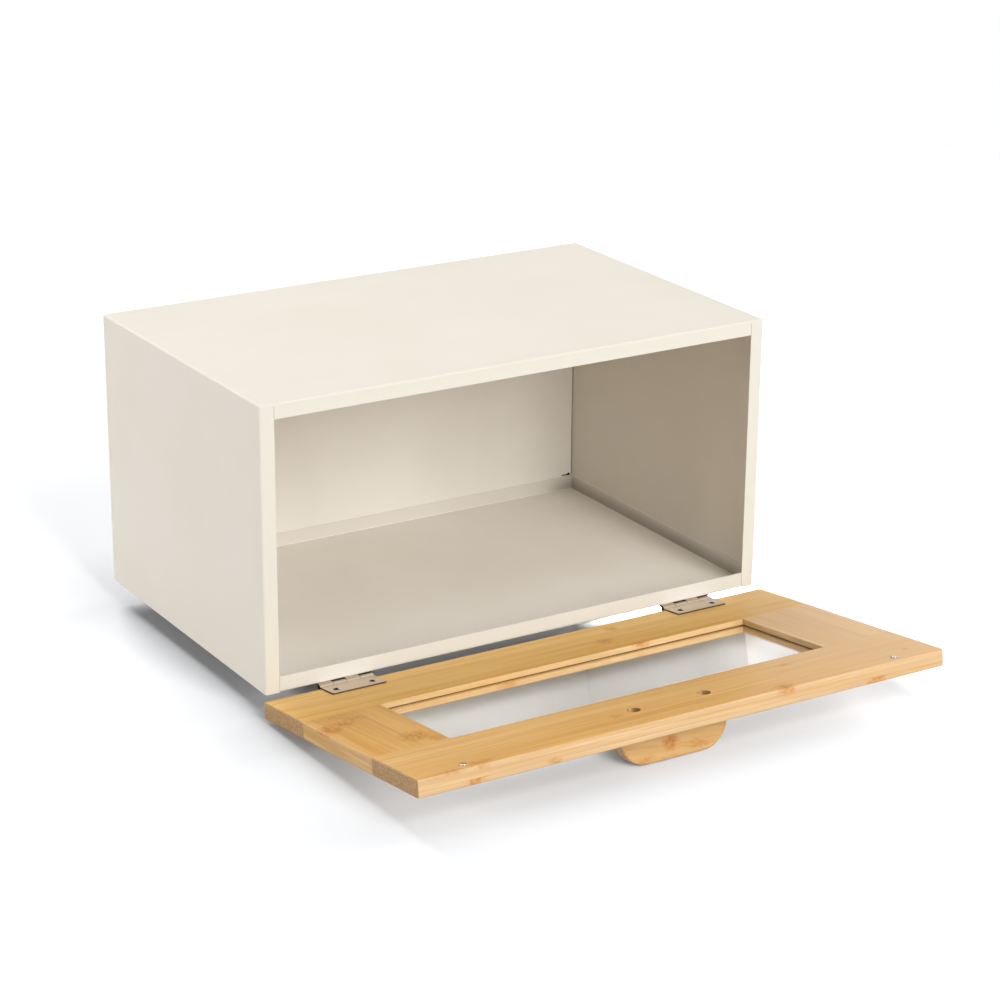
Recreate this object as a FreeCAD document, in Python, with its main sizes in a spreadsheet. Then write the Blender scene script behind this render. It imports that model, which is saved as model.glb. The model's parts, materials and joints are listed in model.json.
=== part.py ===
"""Steel bread box with a drop-front bamboo door, as a parametric document.

All lengths are millimetres and all angles are degrees. +Z is up, +X is to the right of someone who
faces the box, and +Y points to the back. The origin is on the table, under the middle of the space
that the box and its open door take up.

Two working frames carry the pieces:
  case frame: the steel case, with y = 0 on the front rim and z = 0 on the underside;
  pin frame:  the hinge pins' axis, turned up by the open tilt. The door lies along -Y of it.
"""
import FreeCAD, Part
import math
import os
import re
import Sketcher

Vector = FreeCAD.Vector
document = FreeCAD.newDocument("BreadBox")

# A point's coordinates.
X, Y, Z = "x", "y", "z"
# Two lengths closer than this are the same.
TOLERANCE = 1e-4
SIDES = [("left", "-1"), ("right", "1")]
# Both fixings of one hinge leaf, as positions along the hinge from its middle.
FIXINGS = ["-fixing_spread / 2", "fixing_spread / 2"]

# --------------------------------------------------------------------------------------------------
# Driving sizes
# --------------------------------------------------------------------------------------------------
DRIVING = [
    # steel case
    ("case_width", 400.0), ("case_depth", 246.0), ("case_height", 202.5),
    ("sheet_gauge", 0.8), ("bend_inside", 0.8),
    ("rim_side", 10.4), ("rim_top", 10.5), ("rim_bottom", 11.4), ("back_flange", 12.0),
    ("tray_flange", 11.7), ("seam", 0.25), ("panel_margin", 1.0),
    ("relief_radius", 1.6), ("relief_slot", 6.5), ("relief_width", 1.2), ("relief_inset", 0.5),
    # feet
    ("foot_height", 16.5), ("foot_top_radius", 11.0), ("foot_base_radius", 9.5), ("foot_round", 1.5),
    ("foot_from_side", 33.0), ("foot_from_end", 48.0),
    # hinges
    ("hinge_from_side", 60.0), ("hinge_length", 41.5), ("leaf_gauge", 1.0), ("leaf_reach", 20.4),
    ("leaf_corner", 1.5), ("leaf_sink", 0.3), ("leaf_clearance", 0.4),
    ("knuckle_radius", 2.0), ("knuckle_gap", 0.3),
    ("pin_radius", 1.0), ("pin_clearance", 0.05), ("rim_gap", 0.5),
    ("fixing_line", 13.0), ("fixing_spread", 27.8),
    ("screw_radius", 1.9), ("screw_length", 10.5), ("countersink", 0.8), ("head_stand", 0.35),
    ("rivet_radius", 1.5), ("rivet_head", 2.9), ("rivet_crown", 1.0), ("rivet_round", 0.8),
    # door frame
    ("door_side_overhang", 4.0), ("door_top_overhang", 4.8), ("board", 12.0), ("door_edge_gap", 2.6),
    ("stile_width", 57.0), ("rail_width", 57.0), ("edge_round", 1.0),
    ("glass_gauge", 3.0), ("groove_depth", 6.0), ("pane_gap", 0.35),
    ("dowel_radius", 3.0), ("dowel_depth", 15.0), ("dowel_spacing", 28.0), ("dowel_end_gap", 1.0),
    # magnets and handle
    ("magnet_radius", 2.4), ("magnet_depth", 5.0), ("magnet_from_end", 36.5), ("magnet_from_edge", 6.2),
    ("magnet_gap", 0.3), ("magnet_round", 0.5),
    ("handle_width", 83.0), ("handle_reach", 25.0), ("handle_board", 11.0), ("handle_corner", 19.5),
    ("handle_setback", 22.4), ("handle_round", 1.2), ("handle_screws", 55.0),
    ("access_radius", 4.5), ("access_depth", 6.5), ("handle_screw_radius", 2.0),
    ("handle_screw_bite", 15.0), ("handle_head_radius", 3.7), ("handle_head_height", 2.2),
    ("handle_head_round", 1.1),
    # Phillips recess, with its reach from the middle as a share of the head's radius
    ("drive_slot", 1.0), ("drive_depth", 1.1), ("drive_reach", 0.62),
]

# Sizes that follow from the driving ones.
DERIVED = [
    ("bend_outside", "bend_inside + sheet_gauge"),
    ("half_width", "case_width / 2"),
    ("half_inside", "case_width / 2 - sheet_gauge"),
    ("tray_start", "bend_inside + sheet_gauge + seam"),
    ("rim_block_end", "2 * tray_start"),
    ("pin_drop", "knuckle_radius + knuckle_gap"),
    ("pin_forward", "rim_gap + leaf_gauge - leaf_sink"),
    ("hinge_offset", "case_width / 2 - hinge_from_side"),
    ("knuckle_pitch", "hinge_length / 4"),
    ("leaf_start", "knuckle_radius + leaf_clearance"),
    # The closed door covers the whole front of the case and its overhangs.
    ("door_width", "case_width + 2 * door_side_overhang"),
    ("door_length", "case_height + door_top_overhang + pin_drop - door_edge_gap"),
    ("face_level", "-leaf_sink"),
    ("outer_level", "-leaf_sink - board"),
    ("middle_level", "-leaf_sink - board / 2"),
    ("hinge_edge", "-door_edge_gap"),
    ("free_edge", "-door_edge_gap - door_length"),
    ("half_door", "door_width / 2"),
    ("half_window", "door_width / 2 - stile_width"),
    ("window_near", "-door_edge_gap - rail_width"),
    ("window_far", "-door_edge_gap - door_length + rail_width"),
    ("half_groove", "glass_gauge / 2 + pane_gap"),
    ("stile_middle", "door_width / 2 - stile_width / 2"),
    ("magnet_offset", "door_width / 2 - magnet_from_end"),
    ("magnet_stand", "pin_forward + leaf_sink - magnet_gap"),
    ("handle_front", "-door_edge_gap - door_length + handle_setback"),
    ("tip_reach", "door_edge_gap + door_length - handle_setback - handle_board + handle_round"),
    ("tip_drop", "leaf_sink + board + handle_reach - handle_round"),
    ("tip_rise", "foot_height - pin_drop - handle_round"),
    # The door lies back until its handle rests on the table that the feet stand on.
    ("open_tilt", "atan(tip_drop / tip_reach) - asin(tip_rise / sqrt(tip_drop ^ 2 + tip_reach ^ 2))"),
    ("door_reach", "pin_forward + (door_edge_gap + door_length - edge_round) * cos(open_tilt)"
                   " + (leaf_sink + board - edge_round) * sin(open_tilt) + edge_round"),
    ("case_front", "(door_reach - case_depth) / 2"),
]

sizes = document.addObject("Spreadsheet::Sheet", "Sizes")
aliases = [name for name, entry in DRIVING + DERIVED]


def write_row(row, name, content):
    sizes.set("A%d" % row, name)
    sizes.set("B%d" % row, content)
    sizes.setAlias("B%d" % row, name)


for row, (name, number) in enumerate(DRIVING, start=1):
    write_row(row, name, str(number))
for row, (name, rule) in enumerate(DERIVED, start=len(DRIVING) + 1):
    write_row(row, name, "=" + rule)
document.recompute()


# --------------------------------------------------------------------------------------------------
# Helpers
# --------------------------------------------------------------------------------------------------
def formula(text):
    """The text with each size's name turned into a reference to its cell."""
    return re.sub(r"[A-Za-z_]+", lambda word: ("Sizes." if word[0] in aliases else "") + word[0], text)


def value(text):
    """The number that a formula gives now."""
    result = sizes.evalExpression(formula(text))
    return float(getattr(result, "Value", result))


def bind(thing, prop, text):
    thing.setExpression(prop, formula(text))


def place_in_case(thing, x="0", y="0", z="0"):
    """Put a piece into the case frame, at the given point of it."""
    bind(thing, "Placement.Base.x", x)
    bind(thing, "Placement.Base.y", "case_front + (%s)" % y)
    bind(thing, "Placement.Base.z", "foot_height + (%s)" % z)


def place_on_pin(thing, x="0", turned=True):
    """Put a piece into the pin frame: on the hinge axis, and turned with the open door."""
    place_in_case(thing, x, "-pin_forward", "-pin_drop")
    if turned:
        thing.Placement.Rotation = FreeCAD.Rotation(Vector(1, 0, 0), -value("open_tilt"))
        bind(thing, "Placement.Rotation.Angle", "-open_tilt")


def new_body(label):
    body = document.addObject("PartDesign::Body", label)
    body.Label = label
    return body


def new_sketch(body, name, plane="XY_Plane", level="0"):
    """A sketch parallel to an origin plane, at the given height, depth or side position."""
    sketch = body.newObject("Sketcher::SketchObject", name)
    support = [item for item in body.Origin.OriginFeatures if item.Role == plane][0]
    sketch.AttachmentSupport = [(support, "")]
    sketch.MapMode = "FlatFace"
    # The XZ plane faces the front, so a position on +Y is a negative offset from it.
    bind(sketch, "AttachmentOffset.Base.z", "-(%s)" % level if plane == "XZ_Plane" else level)
    return sketch


def dimension(sketch, kind, geometry, point, text):
    index = sketch.addConstraint(Sketcher.Constraint(kind, -1, 1, geometry, point, value(text)))
    bind(sketch, "Constraints[%d]" % index, text)


def draw_polygon(sketch, corners):
    """A closed outline through the corners, each one dimensioned from the sketch's origin."""
    points = [Vector(value(across), value(up), 0) for across, up in corners]
    first = sketch.GeometryCount
    count = len(corners)
    for index in range(count):
        sketch.addGeometry(Part.LineSegment(points[index], points[(index + 1) % count]), False)
    for index in range(count):
        following = first + (index + 1) % count
        sketch.addConstraint(Sketcher.Constraint("Coincident", first + index, 2, following, 1))
    for index, (across, up) in enumerate(corners):
        dimension(sketch, "DistanceX", first + index, 1, across)
        dimension(sketch, "DistanceY", first + index, 1, up)


def draw_rectangle(sketch, across, up):
    draw_polygon(sketch, [(across[0], up[0]), (across[1], up[0]), (across[1], up[1]), (across[0], up[1])])


def draw_circle(sketch, across, up, radius):
    centre = Vector(value(across), value(up), 0)
    index = sketch.addGeometry(Part.Circle(centre, Vector(0, 0, 1), value(radius)), False)
    dimension(sketch, "DistanceX", index, 3, across)
    dimension(sketch, "DistanceY", index, 3, up)
    bound = sketch.addConstraint(Sketcher.Constraint("Radius", index, value(radius)))
    bind(sketch, "Constraints[%d]" % bound, radius)


def extrude(body, name, sketch, length, reverse=False):
    pad = body.newObject("PartDesign::Pad", name)
    pad.Profile = sketch
    pad.Reversed = reverse
    bind(pad, "Length", length)
    document.recompute()
    return pad


def cut_away(body, name, sketch, length, reverse=False):
    before = body.Shape.Volume
    pocket = body.newObject("PartDesign::Pocket", name)
    pocket.Profile = sketch
    pocket.Reversed = reverse
    bind(pocket, "Length", length)
    document.recompute()
    if not body.Shape.Volume < before:
        raise RuntimeError("%s removed nothing from %s" % (name, body.Label))
    return pocket


def span(limits):
    return "(%s) - (%s)" % (limits[1], limits[0])


def add_block(body, name, x, y, z):
    """A straight block between the given limits, added to the body."""
    sketch = new_sketch(body, name + "_outline", "XY_Plane", z[0])
    draw_rectangle(sketch, x, y)
    return extrude(body, name, sketch, span(z))


def cut_block(body, name, x, y, z):
    """A straight block between the given limits, taken out of the body."""
    sketch = new_sketch(body, name + "_outline", "XY_Plane", z[0])
    draw_rectangle(sketch, x, y)
    return cut_away(body, name, sketch, span(z), reverse=True)


def drill_down(body, name, centres, radius, z):
    """Round upright holes between two levels."""
    sketch = new_sketch(body, name + "_circles", "XY_Plane", z[0])
    for x, y in centres:
        draw_circle(sketch, x, y, radius)
    return cut_away(body, name, sketch, span(z), reverse=True)


def drill_back(body, name, centres, radius, y):
    """Round level holes that run towards the back between two depths."""
    sketch = new_sketch(body, name + "_circles", "XZ_Plane", y[0])
    for x, z in centres:
        draw_circle(sketch, x, z, radius)
    return cut_away(body, name, sketch, span(y))


def same(first, second):
    return abs(first - second) < TOLERANCE


def lies_on(edge, axis, limit):
    """Whether every corner and the middle of an edge have this coordinate."""
    middle = edge.valueAt((edge.FirstParameter + edge.LastParameter) / 2)
    points = [vertex.Point for vertex in edge.Vertexes] + [middle]
    return all(same(getattr(point, axis), limit) for point in points)


def ease_edges(body, name, kind, test, prop, length):
    """Round or bevel the edges that pass the test, which sees them in the body's own frame."""
    base = body.Tip
    chosen = ["Edge%d" % (index + 1) for index, edge in enumerate(base.Shape.Edges) if test(edge)]
    ease = body.newObject(kind, name)
    ease.Base = (base, chosen)
    bind(ease, prop, length)
    document.recompute()
    return ease


def round_edges(body, name, test, radius):
    return ease_edges(body, name, "PartDesign::Fillet", test, "Radius", radius)


def bevel_edges(body, name, test, length):
    return ease_edges(body, name, "PartDesign::Chamfer", test, "Size", length)


# --------------------------------------------------------------------------------------------------
# Steel case
# --------------------------------------------------------------------------------------------------
def flange_window(body, name, margin_side, margin_top, y):
    """The opening inside a turned-in flange, with a hairline seam at each of its upper corners."""
    half = "half_width - %s" % margin_side
    top = "case_height - %s" % margin_top
    seam_top = "case_height - bend_outside"
    right = [(half, "0"), (half, seam_top), (half + " - seam", seam_top), (half + " - seam", top)]
    left = [("-(%s)" % across, up) for across, up in reversed(right)]
    sketch = new_sketch(body, name + "_outline", "XZ_Plane", y[0])
    draw_polygon(sketch, right + left)
    cut_away(body, name, sketch, span(y))


def make_body_wrap():
    """Top and both sides bent from one sheet, with flanges turned in at the front and back."""
    wrap = new_body("body_wrap")
    add_block(wrap, "folded_block", ("-half_width", "half_width"), ("0", "case_depth"),
              ("0", "case_height"))
    half, depth, top = value("half_width"), value("case_depth"), value("case_height")

    def is_outer_bend(edge):
        sides = lies_on(edge, X, half) or lies_on(edge, X, -half)
        ends = lies_on(edge, Y, 0) or lies_on(edge, Y, depth)
        return (sides and ends) or (lies_on(edge, Z, top) and (sides or ends))

    round_edges(wrap, "outer_bends", is_outer_bend, "bend_outside")
    cut_block(wrap, "cavity", ("-half_inside", "half_inside"),
              ("sheet_gauge", "case_depth - sheet_gauge"), ("0", "case_height - sheet_gauge"))
    gauge = value("sheet_gauge")

    def is_inner_bend(edge):
        sides = lies_on(edge, X, half - gauge) or lies_on(edge, X, gauge - half)
        ends = lies_on(edge, Y, gauge) or lies_on(edge, Y, depth - gauge)
        return (sides and ends) or (lies_on(edge, Z, top - gauge) and (sides or ends))

    round_edges(wrap, "inner_bends", is_inner_bend, "bend_inside")
    flange_window(wrap, "front_opening", "rim_side", "rim_top", ("0", "sheet_gauge"))
    flange_window(wrap, "back_opening", "back_flange", "back_flange",
                  ("case_depth - sheet_gauge", "case_depth"))
    place_in_case(wrap)
    return wrap


def make_bottom_tray():
    """Floor with low flanges at the sides and back, and the bottom length of the front rim."""
    tray = new_body("bottom_tray")
    rim_half = "half_width - rim_side - seam"
    back = "case_depth - 2 * sheet_gauge"
    add_block(tray, "tray_block", ("-half_inside", "half_inside"), ("tray_start", back),
              ("0", "tray_flange"))
    add_block(tray, "rim_block", ("-(%s)" % rim_half, rim_half), ("0", "rim_block_end"),
              ("0", "rim_bottom"))
    inside = value("half_inside")
    back_limit = value(back)

    def is_outer_bend(edge):
        around = lies_on(edge, X, inside) or lies_on(edge, X, -inside) or lies_on(edge, Y, back_limit)
        return lies_on(edge, Z, 0) and (around or lies_on(edge, Y, 0))

    def is_outer_corner(edge):
        sides = lies_on(edge, X, inside) or lies_on(edge, X, -inside)
        return sides and lies_on(edge, Y, back_limit)

    round_edges(tray, "outer_bends", lambda edge: is_outer_bend(edge) or is_outer_corner(edge),
                "bend_outside")
    floor_half = "half_inside - sheet_gauge"
    cut_block(tray, "tray_hollow", ("-(%s)" % floor_half, floor_half),
              ("sheet_gauge", back + " - sheet_gauge"),
              ("sheet_gauge", "tray_flange + rim_bottom"))
    gauge = value("sheet_gauge")
    floor_limit = value(floor_half)

    def is_inner_bend(edge):
        sides = lies_on(edge, X, floor_limit) or lies_on(edge, X, -floor_limit)
        ends = lies_on(edge, Y, gauge) or lies_on(edge, Y, back_limit - gauge)
        corner = sides and lies_on(edge, Y, back_limit - gauge)
        return corner or (lies_on(edge, Z, gauge) and (sides or ends))

    round_edges(tray, "inner_bends", is_inner_bend, "bend_inside")
    rivets = [("%s * hinge_offset + %s" % (sign, along), "fixing_line - pin_forward")
              for side, sign in SIDES for along in FIXINGS]
    drill_down(tray, "rivet_holes", rivets, "rivet_radius", ("0", "sheet_gauge"))
    place_in_case(tray)
    return tray


def make_back_panel():
    """Flat back, spot-welded inside the back flanges, with a relief slot over each tray corner."""
    panel = new_body("back_panel")
    half = "half_inside - panel_margin"
    y = ("case_depth - 2 * sheet_gauge", "case_depth - sheet_gauge")
    add_block(panel, "panel_blank", ("-(%s)" % half, half), y,
              ("0", "case_height - sheet_gauge - panel_margin"))
    for side, sign in SIDES:
        end = "%s * (%s - relief_inset - relief_radius)" % (sign, half)
        start = "%s * (%s - relief_inset - relief_radius - relief_slot)" % (sign, half)
        level = "tray_flange + relief_width / 2"
        cut_block(panel, "relief_slot_" + side, (start, end), y,
                  (level + " - relief_width / 2", level + " + relief_width / 2"))
        drill_back(panel, "relief_hole_" + side, [(end, level)], "relief_radius", y)
    place_in_case(panel)
    return panel


def make_foot(label, side, end):
    """Stick-on rubber foot: a short cone with a rounded base."""
    foot = new_body(label)
    sketch = new_sketch(foot, "profile", "XZ_Plane")
    draw_polygon(sketch, [("0", "-foot_height"), ("foot_base_radius", "-foot_height"),
                          ("foot_top_radius", "0"), ("0", "0")])
    turned = foot.newObject("PartDesign::Revolution", "cone")
    turned.Profile = sketch
    turned.ReferenceAxis = (sketch, ["V_Axis"])
    turned.Angle = 360
    document.recompute()
    base_level = -value("foot_height")
    round_edges(foot, "base_round",
                lambda edge: lies_on(edge, Z, base_level) and edge.Closed, "foot_round")
    x = "%s * (half_width - foot_from_side)" % side
    place_in_case(foot, x, end)
    return foot


# --------------------------------------------------------------------------------------------------
# Hinges
# --------------------------------------------------------------------------------------------------
def knuckle_limits(index):
    """Both ends of one of the hinge's four knuckles, along the hinge from its middle."""
    start = "-hinge_length / 2 + %d * knuckle_pitch" % index
    return start + " + knuckle_gap / 2", start + " + knuckle_pitch - knuckle_gap / 2"


def make_leaf(label, knuckles, way, z):
    """One hinge leaf: a plate on the +Y or -Y side of the pin, and its own two knuckles."""
    leaf = new_body(label)
    half = "hinge_length / 2"

    def reach(near, far):
        return (near, far) if way == "1" else ("-(%s)" % far, "-(%s)" % near)

    add_block(leaf, "plate", ("-" + half, half), reach("leaf_start", "leaf_reach"), z)
    far = float(way) * value("leaf_reach")
    round_edges(leaf, "plate_corners",
                lambda edge: lies_on(edge, Y, far) and
                (lies_on(edge, X, value(half)) or lies_on(edge, X, -value(half))), "leaf_corner")
    for index in knuckles:
        limits = knuckle_limits(index)
        add_block(leaf, "tab_%d" % index, limits, reach("0", "leaf_start"), z)
        barrel = new_sketch(leaf, "barrel_circle_%d" % index, "YZ_Plane", limits[0])
        draw_circle(barrel, "0", "0", "knuckle_radius")
        extrude(leaf, "barrel_%d" % index, barrel, span(limits))
    bore = new_sketch(leaf, "bore_circle", "YZ_Plane", half)
    draw_circle(bore, "0", "0", "pin_radius + pin_clearance")
    cut_away(leaf, "bore", bore, "hinge_length")
    return leaf


def make_case_leaf(side, sign):
    """Leaf under the case floor, with two rivet holes."""
    leaf = make_leaf("case_leaf_" + side, (0, 2), "1", ("pin_drop - leaf_gauge", "pin_drop"))
    drill_down(leaf, "rivet_holes", [(along, "fixing_line") for along in FIXINGS], "rivet_radius",
               ("pin_drop - leaf_gauge", "pin_drop"))
    place_on_pin(leaf, "%s * hinge_offset" % sign, turned=False)
    return leaf


def make_door_leaf(side, sign):
    """Leaf on the door's inner face, with two countersunk screw holes."""
    top = "face_level + leaf_gauge"
    leaf = make_leaf("door_leaf_" + side, (1, 3), "-1", ("face_level", top))
    drill_down(leaf, "screw_holes", [(along, "-fixing_line") for along in FIXINGS], "screw_radius",
               ("face_level", top))
    top_level, hole_radius = value(top), value("screw_radius")
    bevel_edges(leaf, "countersinks", lambda edge: edge.Closed and lies_on(edge, Z, top_level)
                and same(edge.Curve.Radius, hole_radius), "countersink")
    place_on_pin(leaf, "%s * hinge_offset" % sign)
    return leaf


def make_hinge_pin(side, sign):
    """Wire pin through all four knuckles."""
    pin = new_body("hinge_pin_" + side)
    sketch = new_sketch(pin, "wire_circle", "YZ_Plane", "-hinge_length / 2")
    draw_circle(sketch, "0", "0", "pin_radius")
    extrude(pin, "wire", sketch, "hinge_length")
    place_on_pin(pin, "%s * hinge_offset" % sign, turned=False)
    return pin


# --------------------------------------------------------------------------------------------------
# Door frame
# --------------------------------------------------------------------------------------------------
def on_rim_of_door(edge, joint):
    """Whether an edge runs round the outside of the door, away from the joint plane."""
    half = value("half_door")
    outer = [(X, half), (X, -half), (Y, value("hinge_edge")), (Y, value("free_edge"))]
    return any(lies_on(edge, axis, limit) for axis, limit in outer) and \
        not any(lies_on(edge, Y, limit) for limit in joint)


def dowel_positions():
    """Every dowel's place across the door: two in each of the two stiles."""
    return ["%s * (stile_middle + %s * dowel_spacing / 2)" % (sign, way)
            for side, sign in SIDES for way in ("-1", "1")]


def make_rail(label, y, joint, groove, dowel_span):
    """Full-width board across the door, grooved for the pane and drilled for the dowels."""
    rail = new_body(label)
    add_block(rail, "board_blank", ("-half_door", "half_door"), y, ("outer_level", "face_level"))
    round_edges(rail, "eased_edges", lambda edge: on_rim_of_door(edge, [value(joint)]), "edge_round")
    cut_block(rail, "pane_groove", ("-half_window - groove_depth", "half_window + groove_depth"),
              groove, ("middle_level - half_groove", "middle_level + half_groove"))
    drill_back(rail, "dowel_holes", [(x, "middle_level") for x in dowel_positions()],
               "dowel_radius", dowel_span)
    place_on_pin(rail)
    return rail


def make_hinge_rail():
    """Board along the hinges, with a hole for each leaf screw."""
    rail = make_rail("door_hinge_rail", ("window_near", "hinge_edge"), "window_near",
                     ("window_near", "window_near + groove_depth"),
                     ("window_near", "window_near + dowel_depth"))
    screws = [("%s * hinge_offset + %s" % (sign, along), "-fixing_line")
              for side, sign in SIDES for along in FIXINGS]
    drill_down(rail, "screw_holes", screws, "screw_radius",
               ("face_level + leaf_gauge - screw_length", "face_level"))
    return rail


def make_handle_rail():
    """Board along the free edge, drilled for the magnets and for the handle's screws."""
    rail = make_rail("door_handle_rail", ("free_edge", "window_far"), "window_far",
                     ("window_far - groove_depth", "window_far"),
                     ("window_far - dowel_depth", "window_far"))
    magnets = [("%s * magnet_offset" % sign, "free_edge + magnet_from_edge") for side, sign in SIDES]
    drill_down(rail, "magnet_holes", magnets, "magnet_radius",
               ("face_level - magnet_depth", "face_level"))
    drill_down(rail, "access_holes", handle_screw_centres(), "access_radius",
               ("face_level - access_depth", "face_level"))
    drill_down(rail, "handle_screw_holes", handle_screw_centres(), "handle_screw_radius",
               ("outer_level", "face_level - access_depth"))
    return rail


def make_stile(side, sign):
    """Short board between the rails, at one side of the window."""
    stile = new_body("door_stile_" + side)
    outer, inner = "%s * half_door" % sign, "%s * half_window" % sign
    x = (outer, inner) if side == "left" else (inner, outer)
    add_block(stile, "board_blank", x, ("window_far", "window_near"), ("outer_level", "face_level"))
    joints = [value("window_far"), value("window_near")]
    round_edges(stile, "eased_edges", lambda edge: on_rim_of_door(edge, joints), "edge_round")
    buried = "%s * (half_window + groove_depth)" % sign
    groove = (buried, inner) if side == "left" else (inner, buried)
    cut_block(stile, "pane_groove", groove, ("window_far", "window_near"),
              ("middle_level - half_groove", "middle_level + half_groove"))
    own = [(x, "middle_level") for x in dowel_positions() if value(x) * float(sign) > 0]
    drill_back(stile, "far_dowel_holes", own, "dowel_radius",
               ("window_far", "window_far + dowel_depth"))
    drill_back(stile, "near_dowel_holes", own, "dowel_radius",
               ("window_near - dowel_depth", "window_near"))
    place_on_pin(stile)
    return stile


def make_dowels():
    """Eight beech dowels, two across each joint of the frame."""
    rods = []
    for joint in ("window_near", "window_far"):
        for x in dowel_positions():
            rod = document.addObject("Part::Cylinder", "dowel_%d" % (len(rods) + 1))
            bind(rod, "Radius", "dowel_radius")
            bind(rod, "Height", "2 * (dowel_depth - dowel_end_gap)")
            rod.Placement.Rotation = FreeCAD.Rotation(Vector(1, 0, 0), -90)
            bind(rod, "Placement.Base.x", x)
            bind(rod, "Placement.Base.y", "%s - dowel_depth + dowel_end_gap" % joint)
            bind(rod, "Placement.Base.z", "middle_level")
            rods.append(rod)
    dowels = document.addObject("Part::Compound", "door_dowels")
    dowels.Label = "door_dowels"
    dowels.Links = rods
    place_on_pin(dowels)
    return dowels


def make_window_glass():
    """Clear pane, held in the groove on all four sides."""
    glass = new_body("window_glass")
    half = "half_window + groove_depth - pane_gap"
    add_block(glass, "pane", ("-(%s)" % half, half),
              ("window_far - groove_depth + pane_gap", "window_near + groove_depth - pane_gap"),
              ("middle_level - glass_gauge / 2", "middle_level + glass_gauge / 2"))
    place_on_pin(glass)
    return glass


# --------------------------------------------------------------------------------------------------
# Magnets and handle
# --------------------------------------------------------------------------------------------------
def make_magnet(side, sign):
    """Small round magnet, let into the door and standing a little proud to meet the steel rim."""
    magnet = new_body("door_magnet_" + side)
    sketch = new_sketch(magnet, "disc_circle", "XY_Plane", "face_level - magnet_depth")
    draw_circle(sketch, "%s * magnet_offset" % sign, "free_edge + magnet_from_edge", "magnet_radius")
    extrude(magnet, "disc", sketch, "magnet_depth + magnet_stand")
    crown = value("face_level + magnet_stand")
    round_edges(magnet, "crown", lambda edge: lies_on(edge, Z, crown) and edge.Closed, "magnet_round")
    place_on_pin(magnet)
    return magnet


def handle_screw_centres():
    return [("%s * handle_screws / 2" % sign, "handle_front + handle_board / 2") for side, sign in SIDES]


def make_handle():
    """Bamboo tab with two large round corners, screwed to the outer face from the inside."""
    handle = new_body("handle_tab")
    half, low = "handle_width / 2", "outer_level - handle_reach"
    sketch = new_sketch(handle, "tab_outline", "XZ_Plane", "handle_front + handle_board")
    draw_rectangle(sketch, ("-" + half, half), (low, "outer_level"))
    extrude(handle, "tab", sketch, "handle_board")
    sides = [value(half), -value(half)]
    low_level, top_level = value(low), value("outer_level")
    round_edges(handle, "corners", lambda edge: lies_on(edge, Z, low_level) and
                any(lies_on(edge, X, side) for side in sides), "handle_corner")
    faces = [value("handle_front"), value("handle_front + handle_board")]
    round_edges(handle, "eased_edges", lambda edge: any(lies_on(edge, Y, face) for face in faces)
                and not lies_on(edge, Z, top_level), "handle_round")
    drill_down(handle, "screw_holes", handle_screw_centres(), "handle_screw_radius",
               ("outer_level - handle_screw_bite", "outer_level"))
    place_on_pin(handle)
    return handle


# --------------------------------------------------------------------------------------------------
# Screws and rivets: each group of identical fasteners is one node of separate solids
# --------------------------------------------------------------------------------------------------
def cross_slot(head, top):
    """Phillips recess in a head of this radius: two crossing slots that open upwards."""
    width, depth = value("drive_slot"), value("drive_depth")
    reach = head * value("drive_reach")
    slots = [Part.makeBox(2 * reach, width, depth, Vector(-reach, -width / 2, top - depth)),
             Part.makeBox(width, 2 * reach, depth, Vector(-width / 2, -reach, top - depth))]
    return slots[0].fuse(slots[1])


def round_closed_edge(solid, level, radius):
    """Round the circular edge at this height."""
    chosen = [edge for edge in solid.Edges if edge.Closed and lies_on(edge, Z, level)]
    return solid.makeFillet(radius, chosen)


def countersunk_screw():
    """Raised countersunk wood screw: z = 0 is the top of the plate that it holds down."""
    shank, sink, stand = value("screw_radius"), value("countersink"), value("head_stand")
    length = value("screw_length")
    head = shank + sink
    point = 2 * shank
    outline = [Vector(0, 0, -length), Vector(shank, 0, point - length), Vector(shank, 0, -sink),
               Vector(head, 0, 0)]
    edges = [Part.LineSegment(start, end).toShape() for start, end in zip(outline, outline[1:])]
    # The crown is part of a ball that passes through the head's rim and its top.
    ball = (head ** 2 + stand ** 2) / (2 * stand)
    crown_middle = Vector(head / 2, 0, stand - ball + math.sqrt(ball ** 2 - (head / 2) ** 2))
    edges.append(Part.Arc(outline[-1], crown_middle, Vector(0, 0, stand)).toShape())
    edges.append(Part.LineSegment(Vector(0, 0, stand), outline[0]).toShape())
    solid = Part.Face(Part.Wire(edges)).revolve(Vector(0, 0, 0), Vector(0, 0, 1), 360)
    return solid.cut(cross_slot(head, stand))


def handle_screw():
    """Pan-head wood screw: z = 0 is the seat under its head."""
    shank, bite = value("handle_screw_radius"), value("handle_screw_bite")
    head, height = value("handle_head_radius"), value("handle_head_height")
    length = value("board - access_depth") + bite
    point = 2 * shank
    pan = round_closed_edge(Part.makeCylinder(head, height), height, value("handle_head_round"))
    rod = Part.makeCylinder(shank, length - point, Vector(0, 0, point - length))
    tip = Part.makeCone(0, shank, point, Vector(0, 0, -length))
    return pan.fuse([rod, tip]).removeSplitter().cut(cross_slot(head, height))


def leaf_rivet():
    """Solid rivet: z = 0 is the case floor's upper side, and the closing head is under the leaf."""
    radius, head, crown = value("rivet_radius"), value("rivet_head"), value("rivet_crown")
    grip = value("sheet_gauge + leaf_gauge")
    shank = Part.makeCylinder(radius, grip, Vector(0, 0, -grip))
    heads = []
    for level, way in ((0, 1), (-grip, -1)):
        disc = Part.makeCylinder(head, crown, Vector(0, 0, level), Vector(0, 0, way))
        heads.append(round_closed_edge(disc, level + way * crown, value("rivet_round")))
    return shank.fuse(heads).removeSplitter()


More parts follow.
